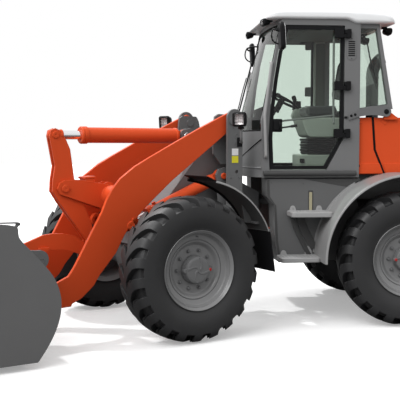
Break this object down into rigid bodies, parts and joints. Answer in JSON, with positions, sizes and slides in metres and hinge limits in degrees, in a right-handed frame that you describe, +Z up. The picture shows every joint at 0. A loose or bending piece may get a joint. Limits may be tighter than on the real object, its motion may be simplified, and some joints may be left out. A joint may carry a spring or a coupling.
{
  "type": "wheel loader",
  "caption": "Articulated wheel loader with enclosed cab, Z-bar loading arm and wide bucket, parked with its front frame steered to the left.",
  "frame": {"origin": "the middle of the machine's outline on the ground it stands on", "axes": "+X forward along the rear frame, +Y to the machine's left, +Z up"},
  "size_m": [6.3641, 3.7262, 3.0119],
  "materials": {
    "orange": "satin",
    "grey": "satin",
    "light_grey": "satin",
    "black": "satin",
    "white": "gloss",
    "glass": "gloss",
    "tyre": "matte",
    "rim": "satin",
    "rod": "polished",
    "bucket": "satin",
    "cab_paint": "satin",
    "interior": "matte",
    "fabric": "matte",
    "lamp": "gloss",
    "casting": "matte"
  },
  "bodies": {
    "rear_frame": {"rear_frame": "grey", "engine": "casting", "counterweight": "casting", "side_tank_left": "light_grey", "side_tank_right": "light_grey", "access_steps": "grey", "rear_fenders": "light_grey", "rear_axle": "grey", "cab_frame": "cab_paint", "cab_roof": "white", "cab_glass": "glass", "exit_window_right": "black", "exit_glass_right": "glass", "door_hinge_pins": "black", "seat_base": "interior", "seat_cushions": "fabric", "side_console": "interior", "steering_column": "interior", "cab_handrails": "black", "mirrors": "black", "roof_lamps": "lamp", "engine_bay_front": "orange", "hood_hinge_arms": "orange", "exhaust_stack": "black", "cab_sills": "black"},
    "door": {"door_left": "black", "door_glass_left": "glass"},
    "hood": {"hood": "orange"},
    "front_frame": {"front_frame": "grey", "front_axle": "grey", "front_fenders": "light_grey", "stand_lamps": "lamp", "mud_flaps": "black"},
    "boom": {"boom": "orange"},
    "bell_crank": {"bell_crank": "orange"},
    "tilt_link": {"tilt_link": "orange"},
    "bucket": {"bucket": "bucket"},
    "tilt_barrel": {"tilt_barrel": "orange"},
    "tilt_rod": {"tilt_rod": "rod"},
    "wheel_front_left": {"tyre_front_left": "tyre", "rim_front_left": "rim"},
    "wheel_rear_left": {"tyre_rear_left": "tyre", "rim_rear_left": "rim"},
    "lift_barrel_left": {"lift_barrel_left": "orange"},
    "lift_rod_left": {"lift_rod_left": "rod"},
    "steer_barrel_left": {"steer_barrel_left": "orange"},
    "steer_rod_left": {"steer_rod_left": "rod"},
    "wheel_front_right": {"tyre_front_right": "tyre", "rim_front_right": "rim"},
    "wheel_rear_right": {"tyre_rear_right": "tyre", "rim_rear_right": "rim"},
    "lift_barrel_right": {"lift_barrel_right": "orange"},
    "lift_rod_right": {"lift_rod_right": "rod"},
    "steer_barrel_right": {"steer_barrel_right": "orange"},
    "steer_rod_right": {"steer_rod_right": "rod"}
  },
  "joints": [
    {"name": "articulation", "type": "hinge", "parent": "rear_frame", "child": "front_frame", "pos_m": [-0.51914, -0.74422, 0.6385], "axis": [0, 0, 1], "range_deg": [-66.28, 13.72]},
    {"name": "wheel_rear_left", "type": "hinge", "parent": "rear_frame", "child": "wheel_rear_left", "pos_m": [-1.83914, 0.17578, 0.6385], "axis": [0, 1, 0], "continuous": true},
    {"name": "wheel_front_left", "type": "hinge", "parent": "front_frame", "child": "wheel_front_left", "pos_m": [0.25709, 0.66513, 0.6385], "axis": [-0.4428, 0.8966, 0], "continuous": true},
    {"name": "wheel_rear_right", "type": "hinge", "parent": "rear_frame", "child": "wheel_rear_right", "pos_m": [-1.83914, -1.66422, 0.6385], "axis": [0, 1, 0], "continuous": true},
    {"name": "wheel_front_right", "type": "hinge", "parent": "front_frame", "child": "wheel_front_right", "pos_m": [1.07176, -0.98469, 0.6385], "axis": [-0.4428, 0.8966, 0], "continuous": true},
    {"name": "door_left", "type": "hinge", "parent": "rear_frame", "child": "door", "pos_m": [-1.31614, -0.07622, 2.2], "axis": [0, 0, 1], "range_deg": [0, 95]},
    {"name": "hood_lift", "type": "hinge", "parent": "rear_frame", "child": "hood", "pos_m": [-1.73414, -0.74422, 2.042], "axis": [0, 1, 0], "range_deg": [0, 45]},
    {"name": "boom_lift", "type": "hinge", "parent": "front_frame", "child": "boom", "pos_m": [-0.00895, -0.49229, 1.945], "axis": [0.4428, -0.8966, 0], "range_deg": [-2.5, 74]},
    {"name": "bucket_tilt", "type": "hinge", "parent": "boom", "child": "bucket", "pos_m": [1.70453, 0.35382, 0.42], "axis": [-0.4428, 0.8966, 0], "range_deg": [-35, 55]},
    {"name": "crank_swing", "type": "hinge", "parent": "boom", "child": "bell_crank", "pos_m": [1.39071, 0.19886, 1.323], "axis": [-0.4428, 0.8966, 0], "range_deg": [-19.81, 12.61]},
    {"name": "link_swing", "type": "hinge", "parent": "bell_crank", "child": "tilt_link", "pos_m": [1.15758, 0.08374, 0.69], "axis": [-0.4428, 0.8966, 0], "range_deg": [-17.86, 28.06]},
    {"name": "tilt_barrel_swing", "type": "hinge", "parent": "front_frame", "child": "tilt_barrel", "pos_m": [0.22956, -0.37451, 1.806], "axis": [0.4428, -0.8966, 0], "range_deg": [-2.68, 79.12]},
    {"name": "tilt_rod_slide", "type": "slide", "parent": "tilt_barrel", "child": "tilt_rod", "axis": [0.8966, 0.4428, 0.0029], "range_m": [-0.1688, 0.1076]},
    {"name": "lift_barrel_swing_left", "type": "hinge", "parent": "front_frame", "child": "lift_barrel_left", "pos_m": [-0.10485, -0.1716, 1.418], "axis": [0.4428, -0.8966, 0], "range_deg": [-2.41, 71.12]},
    {"name": "lift_rod_slide_left", "type": "slide", "parent": "lift_barrel_left", "child": "lift_rod_left", "axis": [0.8262, 0.408, -0.3885], "range_m": [-0.0219, 0.6346]},
    {"name": "lift_barrel_swing_right", "type": "hinge", "parent": "front_frame", "child": "lift_barrel_right", "pos_m": [0.18737, -0.76339, 1.418], "axis": [0.4428, -0.8966, 0], "range_deg": [-2.41, 71.12]},
    {"name": "lift_rod_slide_right", "type": "slide", "parent": "lift_barrel_right", "child": "lift_rod_right", "axis": [0.8262, 0.408, -0.3885], "range_m": [-0.0219, 0.6346]},
    {"name": "steer_barrel_swing_left", "type": "hinge", "parent": "rear_frame", "child": "steer_barrel_left", "pos_m": [-1.15914, -0.52922, 0.8], "axis": [0, 0, 1], "range_deg": [-17.57, 3.65]},
    {"name": "steer_rod_slide_left", "type": "slide", "parent": "steer_barrel_left", "child": "steer_rod_left", "axis": [0.9991, 0.0435, 0], "range_m": [-0.0406, 0.1943]},
    {"name": "steer_barrel_swing_right", "type": "hinge", "parent": "rear_frame", "child": "steer_barrel_right", "pos_m": [-1.15914, -0.95922, 0.8], "axis": [0, 0, 1], "range_deg": [-16.91, 3.51]},
    {"name": "steer_rod_slide_right", "type": "slide", "parent": "steer_barrel_right", "child": "steer_rod_right", "axis": [0.9805, 0.1963, 0], "range_m": [-0.1914, 0.04]}
  ],
  "couplings": [
    {"joint": "crank_swing", "follows": "bucket_tilt", "ratio": -0.36},
    {"joint": "link_swing", "follows": "bucket_tilt", "ratio": 0.51},
    {"joint": "tilt_barrel_swing", "follows": "boom_lift", "ratio": 1.069},
    {"joint": "tilt_rod_slide", "follows": "bucket_tilt", "m_per_rad": -0.1753},
    {"joint": "lift_barrel_swing_left", "follows": "boom_lift", "ratio": 0.961},
    {"joint": "lift_rod_slide_left", "follows": "boom_lift", "m_per_rad": 0.491},
    {"joint": "lift_barrel_swing_right", "follows": "boom_lift", "ratio": 0.961},
    {"joint": "lift_rod_slide_right", "follows": "boom_lift", "m_per_rad": 0.491},
    {"joint": "steer_barrel_swing_left", "follows": "articulation", "ratio": 0.265},
    {"joint": "steer_rod_slide_left", "follows": "articulation", "m_per_rad": -0.1675},
    {"joint": "steer_barrel_swing_right", "follows": "articulation", "ratio": 0.255},
    {"joint": "steer_rod_slide_right", "follows": "articulation", "m_per_rad": 0.165}
  ]
}
